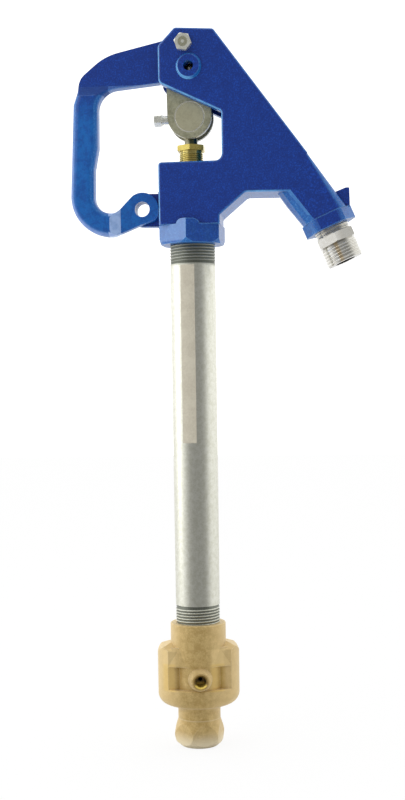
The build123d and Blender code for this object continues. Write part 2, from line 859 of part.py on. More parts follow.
def plunger_body():
    flange_low = plunger_base + seal_thick
    body = upright(flange_radius, flange_low, flange_low + flange_thick)
    body += upright(stem_radius, flange_low, piston_base)
    body += upright(chamber_radius - piston_gap, piston_base, piston_top)
    for height in (ring_low, ring_high):
        middle = piston_base + height
        groove = upright(chamber_radius, middle - ring_section - slide_gap, middle + ring_section + slide_gap)
        body -= groove - upright(chamber_radius - ring_groove, piston_base, piston_top)
    roof = piston_top - piston_roof
    body -= upright(seal_screw_radius, flange_low, piston_base)
    body -= upright(piston_core_radius, flange_low + seal_screw_reach - seal_thick, roof)
    body -= upright(piston_hollow_radius, roof - piston_hollow_height, roof)
    body -= upright(rod_radius + slide_gap, roof, piston_top)
    for index in range(port_count):
        turn = Rot(0, 0, index * 360 / port_count)
        body -= turn * Pos(piston_hole_circle, 0, roof + piston_roof / 2) * Cylinder(
            piston_hole_radius, piston_roof)
        spoke = Rot(0, 90, 0) * Cylinder(stem_hole_radius, stem_radius)
        body -= turn * Pos(stem_radius / 2 + seal_screw_radius / 2, 0,
                           piston_base - stem_height / 2) * spoke
    return body


def seat_seal():
    body = upright(seal_radius, plunger_base, plunger_base + seal_thick)
    return body - upright(seal_screw_radius + slide_gap, plunger_base, plunger_base + seal_thick)


def seal_screw():
    body = upright(seal_screw_head_radius, plunger_base - seal_screw_head, plunger_base)
    body += upright(seal_screw_radius - slide_gap, plunger_base, plunger_base + seal_screw_reach)
    blade = Box(2 * seal_screw_head_radius, screw_slot_width, 2 * screw_slot_depth)
    slot = Pos(0, 0, plunger_base - seal_screw_head) * blade
    return body - slot


def plunger_rings():
    rings = []
    for height in (ring_low, ring_high):
        middle = piston_base + height
        ring = upright(chamber_radius - slide_gap, middle - ring_section, middle + ring_section)
        ring -= upright(chamber_radius - ring_groove + slide_gap, middle - ring_section,
                        middle + ring_section)
        rings.append(fillet(ring.edges(), ring_section / 3))
    return Compound(children=rings)


# Packing at the top of the box


def packing_nut():
    hex_low = box_top + nut_neck_shown
    body = upright(nut_neck_radius, box_top - nut_neck_sunk, hex_low)
    body += beveled_hex(nut_flats, hex_low, hex_low + nut_hex_height, 90, nut_bevel)
    body -= upright(rod_radius + loose_gap, 0, hex_low + nut_hex_height)
    return in_head(body)


def packing_follower():
    top = box_top - nut_neck_sunk
    body = upright(nut_neck_radius - slide_gap, top - follower_thick, top)
    return in_head(body - upright(rod_radius + loose_gap, 0, top))


def packing_rings():
    rings = []
    for index in range(packing_count):
        low = packing_floor + index * packing_ring_thick
        ring = upright(nut_neck_radius - slide_gap, low, low + packing_ring_thick - face_gap)
        rings.append(in_head(ring - upright(rod_radius + slide_gap, low, low + packing_ring_thick)))
    return Compound(children=rings)


# Hose nipple


def hose_nipple():
    sunk = outlet_thread_depth - casting_edge
    hex_low = -nipple_shown - nipple_hex
    thread_high = hex_low - nipple_neck
    body = upright(outlet_thread_radius - slide_gap, -nipple_shown, sunk)
    body += beveled_hex(nipple_flats, hex_low, -nipple_shown, 90, nipple_bevel)
    body += upright(nipple_neck_radius, thread_high, hex_low)
    body += upright(hose_thread_radius, thread_high - hose_thread_length, thread_high)
    body -= upright(nipple_bore, thread_high - hose_thread_length, sunk)
    return in_head(on_outlet(body))


export_step(standpipe(), "parts/standpipe.step")
export_step(pipe_label(), "parts/pipe_label.step")
export_step(valve_body(), "parts/valve_body.step")
export_step(head_casting(), "parts/head_casting.step")
export_step(packing_nut(), "parts/packing_nut.step")
export_step(packing_follower(), "parts/packing_follower.step")
export_step(packing_rings(), "parts/packing_rings.step")
export_step(hose_nipple(), "parts/hose_nipple.step")
export_step(lever(), "parts/lever.step")
export_step(pivot_bolt(), "parts/pivot_bolt.step")
export_step(pivot_nut(), "parts/pivot_nut.step")
export_step(link_plate(-link_inner() - link_thick), "parts/link_plate_front.step")
export_step(link_plate(link_inner()), "parts/link_plate_rear.step")
export_step(link_pin(), "parts/link_pin.step")
export_step(rod_connector(), "parts/rod_connector.step")
export_step(clamp_screw(), "parts/clamp_screw.step")
export_step(operating_rod(), "parts/operating_rod.step")
export_step(plunger_body(), "parts/plunger_body.step")
export_step(seat_seal(), "parts/seat_seal.step")
export_step(seal_screw(), "parts/seal_screw.step")
export_step(plunger_rings(), "parts/plunger_rings.step")
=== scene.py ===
import json
import math
import bpy
import numpy as np
from mathutils import Matrix, Vector


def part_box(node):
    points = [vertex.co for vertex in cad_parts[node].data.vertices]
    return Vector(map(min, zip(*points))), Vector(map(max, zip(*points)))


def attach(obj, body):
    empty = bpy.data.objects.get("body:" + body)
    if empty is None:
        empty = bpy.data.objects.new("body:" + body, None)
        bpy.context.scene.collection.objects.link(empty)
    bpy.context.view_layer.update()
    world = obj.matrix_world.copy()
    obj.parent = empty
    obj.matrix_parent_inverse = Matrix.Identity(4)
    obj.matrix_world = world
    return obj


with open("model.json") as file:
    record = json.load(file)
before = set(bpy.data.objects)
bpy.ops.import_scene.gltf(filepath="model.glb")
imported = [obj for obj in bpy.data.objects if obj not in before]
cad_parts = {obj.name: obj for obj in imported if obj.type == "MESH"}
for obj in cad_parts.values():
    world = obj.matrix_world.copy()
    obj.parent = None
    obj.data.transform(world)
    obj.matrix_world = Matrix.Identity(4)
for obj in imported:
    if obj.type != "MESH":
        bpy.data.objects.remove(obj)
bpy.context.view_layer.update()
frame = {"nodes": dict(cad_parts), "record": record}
nodes = frame["nodes"]
print("frame loaded:", len(nodes), "parts")

# Places that finishes and threads share. Lengths are in millimetres here and in the settings of the finishes
# and the threads, and in metres in those of the camera, the lamps and the room, apart from the camera's lens.
mm = 0.001
origin = (0.0, 0.0, 0.0)
upward = (0.0, 0.0, 1.0)
acrossFront = (0.0, 1.0, 0.0)
screwedIn = 17.0
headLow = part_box("standpipe")[1][2] / mm - screwedIn
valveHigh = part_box("valve_body")[1][2] / mm
pivotPlace = (-2.7, 0.0, headLow + 140.3)
outletLean = math.radians(23.6)
outletDown = (math.sin(outletLean), 0.0, -math.cos(outletLean))
outletStart = (101.9, 0.0, headLow + 9.5)


# Small helpers for building node trees

def linear(red, green, blue):
    # A colour written as on a screen, 0 to 255, as the linear colour a shader wants
    def one(value):
        share = value / 255
        return share / 12.92 if share <= 0.04045 else ((share + 0.055) / 1.055) ** 2.4
    return (one(red), one(green), one(blue), 1.0)


def addNode(tree, kind, props=None, sockets=None):
    node = tree.nodes.new(kind)
    for name, value in (props or {}).items():
        setattr(node, name, value)
    for name, value in (sockets or {}).items():
        node.inputs[name].default_value = value
    return node


def feed(tree, socket, value):
    # A socket takes either another node's output or a plain value
    if isinstance(value, bpy.types.NodeSocket):
        tree.links.new(value, socket)
    else:
        socket.default_value = value


def calc(tree, operation, first, second=0.0, clamp=False):
    node = addNode(tree, "ShaderNodeMath", {"operation": operation, "use_clamp": clamp})
    feed(tree, node.inputs[0], first)
    feed(tree, node.inputs[1], second)
    return node.outputs[0]


def times(tree, first, *others):
    for other in others:
        first = calc(tree, "MULTIPLY", first, other)
    return first


def greater(tree, first, *others):
    # The largest of several values
    for other in others:
        first = calc(tree, "MAXIMUM", first, other)
    return first


def smoothStep(tree, value, edges):
    # 0 before the first edge, 1 past the second and an eased rise between them; the edges may run downwards
    node = addNode(tree, "ShaderNodeMapRange", {"interpolation_type": "SMOOTHSTEP"})
    feed(tree, node.inputs["Value"], value)
    feed(tree, node.inputs["From Min"], edges[0])
    feed(tree, node.inputs["From Max"], edges[1])
    return node.outputs["Result"]


def spread(tree, value, ends):
    # A mask from 0 to 1 spread over another range
    node = addNode(tree, "ShaderNodeMapRange")
    feed(tree, node.inputs["Value"], value)
    feed(tree, node.inputs["To Min"], ends[0])
    feed(tree, node.inputs["To Max"], ends[1])
    return node.outputs["Result"]


def between(tree, value, span, soft):
    # 1 inside a span, fading over soft past both its ends
    low, high = span
    return times(tree, smoothStep(tree, value, (low - soft, low)),
                 smoothStep(tree, value, (high + soft, high)))


def blendColours(tree, share, first, second):
    node = addNode(tree, "ShaderNodeMix", {"data_type": "RGBA"})
    feed(tree, node.inputs[0], share)
    feed(tree, node.inputs[6], first)
    feed(tree, node.inputs[7], second)
    return node.outputs[2]


def layOver(tree, body, colour, mask, share):
    # A second colour laid over the first where the mask says, as strongly as the share
    return blendColours(tree, times(tree, mask, share), body, colour)


def noiseAt(tree, vector, size, detail, rough):
    # Noise whose spots are about that many millimetres across, centred on one half
    node = addNode(tree, "ShaderNodeTexNoise", sockets={"Detail": detail, "Roughness": rough})
    tree.links.new(vector, node.inputs["Vector"])
    feed(tree, node.inputs["Scale"], calc(tree, "DIVIDE", 1.0, size))
    return node.outputs["Fac"]


def newGroup(name, inputs, outputs):
    group = bpy.data.node_groups.new(name, "ShaderNodeTree")
    for direction, labels in (("INPUT", inputs), ("OUTPUT", outputs)):
        for label in labels:
            group.interface.new_socket(name=label, in_out=direction, socket_type="NodeSocketFloat")
    start = group.nodes.new("NodeGroupInput")
    end = group.nodes.new("NodeGroupOutput")
    return group, start, end


def useGroup(tree, group, **values):
    node = tree.nodes.new("ShaderNodeGroup")
    node.node_tree = group
    for label, value in values.items():
        feed(tree, node.inputs[label], value)
    return node


def vectorMath(tree, operation, first, second=None):
    node = addNode(tree, "ShaderNodeVectorMath", {"operation": operation})
    tree.links.new(first, node.inputs[0])
    if second is not None:
        feed(tree, node.inputs[1], second)
    return node


def millimetres(tree):
    # Object coordinates counted in millimetres
    place = addNode(tree, "ShaderNodeTexCoord")
    scale = vectorMath(tree, "SCALE", place.outputs["Object"])
    scale.inputs["Scale"].default_value = 1 / mm
    return scale.outputs[0]


def splitVector(tree, vector):
    parts = addNode(tree, "ShaderNodeSeparateXYZ")
    tree.links.new(vector, parts.inputs[0])
    return parts.outputs


def splitPlace(tree):
    # The three object coordinates in millimetres, as separate numbers
    return splitVector(tree, millimetres(tree))


def splitNormal(tree):
    # The three parts of the surface's own direction, which turns with a moving piece
    return splitVector(tree, addNode(tree, "ShaderNodeTexCoord").outputs["Normal"])


def fromAxis(tree, start, along):
    # Distance in millimetres from a line: the length of the cross product with the line's direction
    reach = vectorMath(tree, "SUBTRACT", millimetres(tree), start)
    turned = vectorMath(tree, "CROSS_PRODUCT", reach.outputs[0], along)
    return vectorMath(tree, "LENGTH", turned.outputs[0]).outputs["Value"]


def alongLine(tree, start, along):
    # Distance in millimetres down a line from its start: the dot product with the line's direction
    reach = vectorMath(tree, "SUBTRACT", millimetres(tree), start)
    return vectorMath(tree, "DOT_PRODUCT", reach.outputs[0], along).outputs["Value"]


# Surface effects that several finishes share. The pair that describes a noise is its detail and roughness.

grainLook = {"grain": (2.0, 0.6), "wave": (2.0, 0.4), "waveShare": 0.35, "specks": (0.62, 0.48)}


def makeCastGrain(look):
    # Sand-cast skin: fine grains over slow waves; Height feeds a bump, Specks marks the deepest grains
    group, start, end = newGroup("castGrain", ["Grain", "Wave"], ["Height", "Specks"])
    place = millimetres(group)
    grain = noiseAt(group, place, start.outputs["Grain"], *look["grain"])
    wave = noiseAt(group, place, start.outputs["Wave"], *look["wave"])
    group.links.new(calc(group, "ADD", grain, times(group, wave, look["waveShare"])), end.inputs["Height"])
    group.links.new(smoothStep(group, grain, look["specks"]), end.inputs["Specks"])
    return group


rimLook = {
    "offSide": (0.08, 0.32), "offFront": (0.97, 0.72), "patchSize": 5.0, "patch": (2.0, 0.5),
    "patchEdges": (0.35, 0.6), "patchShare": (0.7, 1.0), "toLitSide": (-0.74, -0.67), "litSideEdges": (0.12, 0.6),
    "aside": (0.96, 0.8), "leftward": (-0.3, -0.6),
}


def makeRoundedEdge(look):
    # The rounded rims of the castings, where the skin turns from the front or back face to a side, found
    # by the normal and by their place between Near and Far from the middle plane, above Bottom. Mask
    # covers all of them, and the highlight output those that face left and down, towards the light, where a
    # painted highlight goes. Aside covers every surface that faces neither the front nor the back, and
    # Leftward those that face left.
    group, start, end = newGroup("roundedEdge", ["Near", "Far", "Bottom"],
                                 ["Mask", "Rim Highlight", "Aside", "Leftward"])
    normal = splitNormal(group)
    facing = calc(group, "ABSOLUTE", normal["Y"])
    band = times(group, smoothStep(group, facing, look["offSide"]),
                 smoothStep(group, facing, look["offFront"]))
    patch = noiseAt(group, millimetres(group), look["patchSize"], *look["patch"])
    uneven = spread(group, smoothStep(group, patch, look["patchEdges"]), look["patchShare"])
    place = splitPlace(group)
    offMiddle = calc(group, "ABSOLUTE", place["Y"])
    within = times(group, calc(group, "GREATER_THAN", offMiddle, start.outputs["Near"]),
                   calc(group, "LESS_THAN", offMiddle, start.outputs["Far"]),
                   calc(group, "GREATER_THAN", place["Z"], start.outputs["Bottom"]))
    mask = times(group, band, times(group, uneven, within))
    group.links.new(mask, end.inputs["Mask"])
    # Painted highlight: the rims that face left and down, towards the light, are marked for a paler colour
    toLitSide = calc(group, "ADD", times(group, normal["X"], look["toLitSide"][0]),
                  times(group, normal["Z"], look["toLitSide"][1]))
    group.links.new(times(group, mask, smoothStep(group, toLitSide, look["litSideEdges"])), end.inputs["Rim Highlight"])
    group.links.new(times(group, smoothStep(group, facing, look["aside"]), uneven), end.inputs["Aside"])
    group.links.new(smoothStep(group, normal["X"], look["leftward"]), end.inputs["Leftward"])
    return group


blotchLook = {"large": (4.0, 0.6), "small": (3.0, 0.6), "shares": (0.6, 0.4), "edges": (0.38, 0.62)}


def makeBlotches(look):
    # Soft uneven patches of two sizes, for mottled zinc, dull spots and old fingerprints
    group, start, end = newGroup("blotches", ["Large", "Small"], ["Mask", "Fine"])
    place = millimetres(group)
    large = noiseAt(group, place, start.outputs["Large"], *look["large"])
    small = noiseAt(group, place, start.outputs["Small"], *look["small"])
    largeShare, smallShare = look["shares"]
    both = calc(group, "ADD", times(group, large, largeShare), times(group, small, smallShare))
    group.links.new(smoothStep(group, both, look["edges"]), end.inputs["Mask"])
    group.links.new(small, end.inputs["Fine"])
    return group


markLook = {"size": 4.0, "lines": (4.0, 0.6)}


def makeToolMarks(look):
    # Fine turning or drawing lines: noise squeezed by each Across number, so it runs long where that is low
    group, start, end = newGroup("toolMarks", ["Across X", "Across Y", "Across Z"], ["Lines"])
    join = addNode(group, "ShaderNodeCombineXYZ")
    for axis in "XYZ":
        group.links.new(start.outputs["Across " + axis], join.inputs[axis])
    squeezed = vectorMath(group, "MULTIPLY", millimetres(group), join.outputs[0])
    lines = noiseAt(group, squeezed.outputs[0], look["size"], *look["lines"])
    group.links.new(lines, end.inputs["Lines"])
    return group


castGrain = makeCastGrain(grainLook)
roundedEdge = makeRoundedEdge(rimLook)
blotches = makeBlotches(blotchLook)
toolMarks = makeToolMarks(markLook)
print("shared surface effects made")


# Finishes

def newFinish(name, constants):
    material = bpy.data.materials.new(name)
    material.use_nodes = True
    tree = material.node_tree
    tree.nodes.clear()
    end = tree.nodes.new("ShaderNodeOutputMaterial")
    shader = addNode(tree, "ShaderNodeBsdfPrincipled", sockets=constants)
    tree.links.new(shader.outputs["BSDF"], end.inputs["Surface"])
    return material, tree, shader


edgeLook = {"samples": 4, "alike": (0.985, 0.88)}


def sharpEdges(tree, reach):
    # 1 along edges: how far the normal would turn if they were rounded by that many millimetres
    softened = addNode(tree, "ShaderNodeBevel", {"samples": edgeLook["samples"]}, {"Radius": reach * mm})
    geometry = addNode(tree, "ShaderNodeNewGeometry")
    alike = vectorMath(tree, "DOT_PRODUCT", softened.outputs[0], geometry.outputs["Normal"])
    return smoothStep(tree, alike.outputs["Value"], edgeLook["alike"])


def addBump(tree, shader, height, strength, depth):
    bump = addNode(tree, "ShaderNodeBump", sockets={"Strength": strength, "Distance": depth * mm})
    tree.links.new(height, bump.inputs["Height"])
    tree.links.new(bump.outputs["Normal"], shader.inputs["Normal"])


bluePaint = {
    "deep": linear(12, 56, 146), "full": linear(16, 68, 168), "teal": linear(14, 106, 184),
    "rim": linear(112, 176, 226), "pale": linear(168, 196, 238), "speck": linear(6, 42, 118),
    "speckShare": 0.75, "tealShare": 0.75, "rough": (0.28, 0.42),
    "constants": {"Coat Weight": 0.2, "Coat Roughness": 0.2, "Specular IOR Level": 0.32},
    "grain": 1.1, "wave": 11.0, "bump": 0.30, "depth": 0.10,
    "blotches": {"Large": 6.0, "Small": 1.4}, "cloud": (0.48, 0.66), "cloudShare": 0.22,
    "highlightFade": (55.0, 70.0), "highlightShare": (0.8, 0.2), "collarTop": 404.0, "collarEdge": 1.1,
    "collarShare": 0.5,
}


def startEnamel(name, look, rims):
    # Enamel over a sand casting, with darker specks where it fills the deepest grains
    material, tree, shader = newFinish(name, look["constants"])
    skin = useGroup(tree, castGrain, Grain=look["grain"], Wave=look["wave"])
    patch = useGroup(tree, blotches, **look["blotches"])
    edge = useGroup(tree, roundedEdge, **rims)
    body = blendColours(tree, patch.outputs["Mask"], look["deep"], look["full"])
    body = layOver(tree, body, look["speck"], skin.outputs["Specks"], look["speckShare"])
    addBump(tree, shader, skin.outputs["Height"], look["bump"], look["depth"])
    return material, tree, shader, patch, edge, body


def paintedSideReflection(tree, look, patch, edge, body):
    # Painted reflection: the enamel is greener on the sides and the rounded rims, with pale clouds on the
    # sides
    aside = edge.outputs["Aside"]
    body = layOver(tree, body, look["teal"], greater(tree, edge.outputs["Mask"], aside), look["tealShare"])
    cloud = times(tree, aside, smoothStep(tree, patch.outputs["Fine"], look["cloud"]))
    return layOver(tree, body, look["rim"], cloud, look["cloudShare"])


def paintedRimHighlights(tree, look, edge, place):
    # Painted highlights on the rims, weaker far out on the spout, and on the low collars' sharp edges
    fade = spread(tree, smoothStep(tree, place["X"], look["highlightFade"]), look["highlightShare"])
    collars = times(tree, sharpEdges(tree, look["collarEdge"]),
                    calc(tree, "LESS_THAN", place["Z"], look["collarTop"]))
    return greater(tree, times(tree, edge.outputs["Rim Highlight"], fade), times(tree, collars, look["collarShare"]))


headPaint = {
    "rims": {"Near": 15.2, "Far": 20.6, "Bottom": 395.0}, "flat": (380.0, 402.0), "flatSoft": 1.5,
    "flatWide": (-30.0, 30.0), "flatWideSoft": 1.0, "flatShare": 0.3,
}


def makeHeadPaint(look, own):
    # The head's enamel, with a painted reflection that makes the left face of its hexagonal collar paler
    material, tree, shader, patch, edge, body = startEnamel("blueEnamel", look, own["rims"])
    place = splitPlace(tree)
    body = paintedSideReflection(tree, look, patch, edge, body)
    # Painted reflection on the collar's left face, which faces the light on the left
    flat = times(tree, edge.outputs["Leftward"], between(tree, place["Z"], own["flat"], own["flatSoft"]),
                 between(tree, place["X"], own["flatWide"], own["flatWideSoft"]))
    body = layOver(tree, body, look["pale"], flat, own["flatShare"])
    # Painted highlights on the rims, in the pale rim colour
    paleHighlight = paintedRimHighlights(tree, look, edge, place)
    tree.links.new(blendColours(tree, paleHighlight, body, look["rim"]), shader.inputs["Base Color"])
    tree.links.new(spread(tree, patch.outputs["Fine"], look["rough"]), shader.inputs["Roughness"])
    return material


leverPaint = {
    "rims": {"Near": 2.8, "Far": 8.2, "Bottom": 370.0}, "edgeHighlight": linear(128, 152, 208),
    "rimLightFade": (468.0, 428.0), "rimLightShare": (0.12, 0.9), "thin": (500.0, 462.0), "thinShare": (0.4, 0.8),
    "elbow": (487.0, 492.6), "elbowSoft": 1.0, "elbowRight": -60.0, "elbowAside": 0.1,
    "elbowRough": 0.85, "elbowShare": 0.55, "step": (-61.3, -52.6), "stepSoft": 0.4, "stepTop": 412.0,
}


def makeLeverPaint(look, own):
    # The lever's enamel: greener in its lower part, where painted highlights also lie on its rims, with a
    # painted highlight on the step at the tab and painted shade and more roughness on the one at the elbow
    material, tree, shader, patch, edge, body = startEnamel("leverEnamel", look, own["rims"])
    aside = edge.outputs["Aside"]
    place = splitPlace(tree)
    thin = times(tree, smoothStep(tree, place["Z"], own["thin"]),
                 spread(tree, patch.outputs["Mask"], own["thinShare"]))
    body = blendColours(tree, thin, body, look["teal"])
    body = paintedSideReflection(tree, look, patch, edge, body)
    # Painted shade: the speck colour darkens the elbow's step, which the floor lights more than the front
    elbow = times(tree, between(tree, place["Z"], own["elbow"], own["elbowSoft"]),
                  calc(tree, "LESS_THAN", place["X"], own["elbowRight"]),
                  calc(tree, "GREATER_THAN", aside, own["elbowAside"]))
    body = layOver(tree, body, look["speck"], elbow, own["elbowShare"])
    # Painted highlight: the step at the tab is given the pale colour
    step = times(tree, between(tree, place["X"], own["step"], own["stepSoft"]), aside,
                 calc(tree, "LESS_THAN", place["Z"], own["stepTop"]))
    body = blendColours(tree, step, body, look["pale"])
    # Painted highlight on the rims, strongest low on the lever
    rimLight = spread(tree, smoothStep(tree, place["Z"], own["rimLightFade"]), own["rimLightShare"])
    paleHighlight = times(tree, paintedRimHighlights(tree, look, edge, place), rimLight)
    tree.links.new(blendColours(tree, paleHighlight, body, own["edgeHighlight"]), shader.inputs["Base Color"])
    rough = greater(tree, spread(tree, patch.outputs["Fine"], look["rough"]),
                    times(tree, elbow, own["elbowRough"]))
    tree.links.new(rough, shader.inputs["Roughness"])
    return material


galvanised = {
    "dull": linear(206, 206, 190), "bright": linear(230, 230, 220), "crest": linear(176, 178, 168),
    "groove": linear(98, 102, 92), "rough": (0.32, 0.42), "metal": 1.0, "bump": 0.2, "depth": 0.04,
    "blotches": {"Large": 3.2, "Small": 1.1}, "drawn": {"Across X": 3.0, "Across Y": 3.0, "Across Z": 0.25},
    "shares": (0.65, 0.35), "lowThread": 107.0, "highThread": 362.0, "fade": 2.0, "lowShare": 0.25,
    "highShare": 0.9, "teeth": (16.65, 16.1), "threadRough": 0.58,
}


def mottled(tree, patch, lines, shares):
    # Patches and tool lines in one mask
    return calc(tree, "ADD", times(tree, patch.outputs["Mask"], shares[0]),
                times(tree, lines.outputs["Lines"], shares[1]), clamp=True)


def makeGalvanised(look):
    # Hot-dip zinc: mottled patches with fine drawn lines along the pipe. The threads at its ends were cut
    # later and are darker, most of all their roots, and the upper one is darker still with painted shade from
    # the collar.
    material, tree, shader = newFinish("galvanisedZinc", {"Metallic": look["metal"]})
    patch = useGroup(tree, blotches, **look["blotches"])
    share = mottled(tree, patch, useGroup(tree, toolMarks, **look["drawn"]), look["shares"])
    z = splitPlace(tree)["Z"]
    low, high, fade = look["lowThread"], look["highThread"], look["fade"]
    # Darker thread zones; the upper one's far larger share is partly painted shade under the collar
    ends = greater(tree, times(tree, smoothStep(tree, z, (high, high + fade)), look["highShare"]),
                   times(tree, smoothStep(tree, z, (low, low - fade)), look["lowShare"]))
    zinc = blendColours(tree, share, look["dull"], look["bright"])
    zinc = blendColours(tree, ends, zinc, look["crest"])
    groove = smoothStep(tree, fromAxis(tree, origin, upward), look["teeth"])
    tree.links.new(blendColours(tree, groove, zinc, look["groove"]), shader.inputs["Base Color"])
    threaded = greater(tree, calc(tree, "GREATER_THAN", z, high), calc(tree, "LESS_THAN", z, low))
    rough = greater(tree, spread(tree, patch.outputs["Fine"], look["rough"]),
                    times(tree, threaded, look["threadRough"]))
    tree.links.new(rough, shader.inputs["Roughness"])
    addBump(tree, shader, share, look["bump"], look["depth"])
    return material


castBrass = {
    "pale": linear(208, 182, 124), "dark": linear(178, 150, 90), "gold": linear(154, 120, 44),
    "cut": linear(220, 190, 84), "shade": linear(120, 94, 40), "paleDustAndLight": linear(232, 220, 190),
    "light": linear(226, 200, 146), "rough": (0.5, 0.7), "metal": 0.3, "grain": 0.7, "wave": 6.0,
    "bump": 0.7, "depth": 0.16, "blotches": {"Large": 5.0, "Small": 1.3}, "speckShare": 0.4,
    "turn": math.radians(9.5), "valley": (15.3, 14.4), "valleyReach": (6.0, 0.5), "valleyShare": 0.6,
    "pocketLow": (45.5, 46.5), "pocketHigh": (66.0, 63.0),
    "drain": 54.8, "bore": (5.5, 5.0), "boreFront": -10.0, "boreRough": (1.0, 0.5), "boreShadeToLight": (53.3, 51.8),
    "mouth": (6.8, 6.3), "mouthFront": -20.0, "mouthShare": 0.5,
    "foot": (15.0, 1.0), "footShare": 0.95, "sheen": (0.2, 1.0), "sheenShare": 0.3,
    "flank": (5.0, 21.0), "flankShare": 0.55, "edge": 0.7, "edgeShare": 0.45,
    "rings": ((21.4, 21.8), (32.2, 32.6)), "ringSoft": 0.35, "ringShare": 0.3,
    "panelMiddle": -2.2, "panelSpan": (15.0, 21.5), "panelSoft": 3.0, "panelFront": -8.0, "panelFade": 2.0,
    "panelCorner": 0.3,
    "panels": ({"heights": (65.6, 76.0), "share": 0.32, "colour": linear(244, 218, 158)},
               {"heights": (46.4, 65.0), "share": 0.5, "colour": linear(224, 190, 104)}),
}


def pocketCorners(tree, look, z):
    # 1 in the inner corner of each front pocket, an upright line on either side of the drain, where painted
    # shade goes
    reaches = []
    for side in (-1, 1):
        across, ahead = side * look["valley"][0], -look["valley"][1]
        line = (across * math.cos(look["turn"]) - ahead * math.sin(look["turn"]),
                across * math.sin(look["turn"]) + ahead * math.cos(look["turn"]), 0)
        reaches.append(fromAxis(tree, line, upward))
    nearest = calc(tree, "MINIMUM", *reaches)
    return times(tree, smoothStep(tree, nearest, look["valleyReach"]),
                 times(tree, smoothStep(tree, z, look["pocketLow"]),
                       smoothStep(tree, z, look["pocketHigh"])))


def makeCastBrass(look):
    # Brass as it comes from the sand: matt and pale with darker grains. Painted shade makes it a darker gold
    # in the corners of the pockets, painted light makes it lighter on the flanks and the panels beside the
    # drain, a painted shadow and a painted highlight darken and brighten the inside of the drain, painted
    # highlights pale its edges, and a painted sheen where the eye grazes it and dust with a painted
    # reflection of the floor towards the foot pale it.
    material, tree, shader = newFinish("rawCastBrass", {"Metallic": look["metal"]})
    skin = useGroup(tree, castGrain, Grain=look["grain"], Wave=look["wave"])
    patch = useGroup(tree, blotches, **look["blotches"])
    x, y, z = splitPlace(tree)
    corner = pocketCorners(tree, look, z)
    offDrain = fromAxis(tree, (0, 0, look["drain"]), (math.sin(look["turn"]), -math.cos(look["turn"]), 0))
    body = blendColours(tree, patch.outputs["Mask"], look["dark"], look["pale"])
    body = layOver(tree, body, look["dark"], skin.outputs["Specks"], look["speckShare"])
    # Painted shade: a darker gold in the pocket corners
    body = layOver(tree, body, look["gold"], corner, look["valleyShare"])
    mouth = times(tree, smoothStep(tree, offDrain, look["mouth"]),
                  calc(tree, "LESS_THAN", y, look["mouthFront"]))
    body = layOver(tree, body, look["gold"], mouth, look["mouthShare"])
    inDrain = times(tree, smoothStep(tree, offDrain, look["bore"]),
                    calc(tree, "LESS_THAN", y, look["boreFront"]))
    # Painted shadow in the top of the drain's bore, fading to a painted highlight on its lower, cut part
    cut = blendColours(tree, smoothStep(tree, z, look["boreShadeToLight"]), look["shade"], look["cut"])
    body = blendColours(tree, inDrain, body, cut)
    # Painted light: lighter towards the flanks, away from the middle
    flank = times(tree, smoothStep(tree, calc(tree, "ABSOLUTE", x), look["flank"]), look["flankShare"])
    body = layOver(tree, body, look["light"], flank, calc(tree, "SUBTRACT", 1.0, corner))
    # Painted light: lighter panels beside the drain even out the shading of their facets
    aside = calc(tree, "ABSOLUTE", calc(tree, "SUBTRACT", x, look["panelMiddle"]))
    beside = times(tree, between(tree, aside, look["panelSpan"], look["panelSoft"]),
                   calc(tree, "LESS_THAN", y, look["panelFront"]))
    for panel in look["panels"]:
        inside = times(tree, beside, between(tree, z, panel["heights"], look["panelFade"]))
        share = calc(tree, "SUBTRACT", panel["share"], times(tree, corner, look["panelCorner"]))
        share = calc(tree, "MULTIPLY", inside, share, clamp=True)
        body = blendColours(tree, share, body, panel["colour"])
    # Painted highlights on the sharp edges and in two thin rings
    edgeHighlight = times(tree, sharpEdges(tree, look["edge"]), look["edgeShare"])
    for span in look["rings"]:
        ring = times(tree, between(tree, z, span, look["ringSoft"]), look["ringShare"])
        edgeHighlight = greater(tree, edgeHighlight, ring)
    # Towards the foot, dust and a painted reflection of the floor; where the eye grazes, a painted sheen
    foot = times(tree, smoothStep(tree, z, look["foot"]), look["footShare"])
    grazing = addNode(tree, "ShaderNodeLayerWeight").outputs["Facing"]
    sheen = times(tree, smoothStep(tree, grazing, look["sheen"]), look["sheenShare"])
    dustAndPaintedLight = times(tree, greater(tree, foot, sheen, edgeHighlight), calc(tree, "SUBTRACT", 1.0, inDrain))
    tree.links.new(blendColours(tree, dustAndPaintedLight, body, look["paleDustAndLight"]), shader.inputs["Base Color"])
    rough = times(tree, spread(tree, patch.outputs["Fine"], look["rough"]),
                  spread(tree, inDrain, look["boreRough"]))
    tree.links.new(rough, shader.inputs["Roughness"])
    addBump(tree, shader, skin.outputs["Height"], look["bump"], look["depth"])
    return material


machined = {
    "blotches": {"Large": 6.0, "Small": 1.2}, "lines": {"Across X": 0.6, "Across Y": 0.6, "Across Z": 9.0},
    "shares": (0.6, 0.4), "bevel": ((0.3, 0.5), (0.95, 0.8)), "bump": 0.15, "depth": 0.02,
}


def startMetal(name, look):
    # Machined metal: fine tool lines and small duller patches from handling
    material, tree, shader = newFinish(name, {"Metallic": look["metal"]})
    patch = useGroup(tree, blotches, **machined["blotches"])
    lines = useGroup(tree, toolMarks, **machined["lines"])
    share = mottled(tree, patch, lines, machined["shares"])
    tree.links.new(spread(tree, share, look["rough"]), shader.inputs["Roughness"])
    addBump(tree, shader, lines.outputs["Lines"], machined["bump"], machined["depth"])
    return material, tree, shader, blendColours(tree, share, look["dark"], look["pale"])


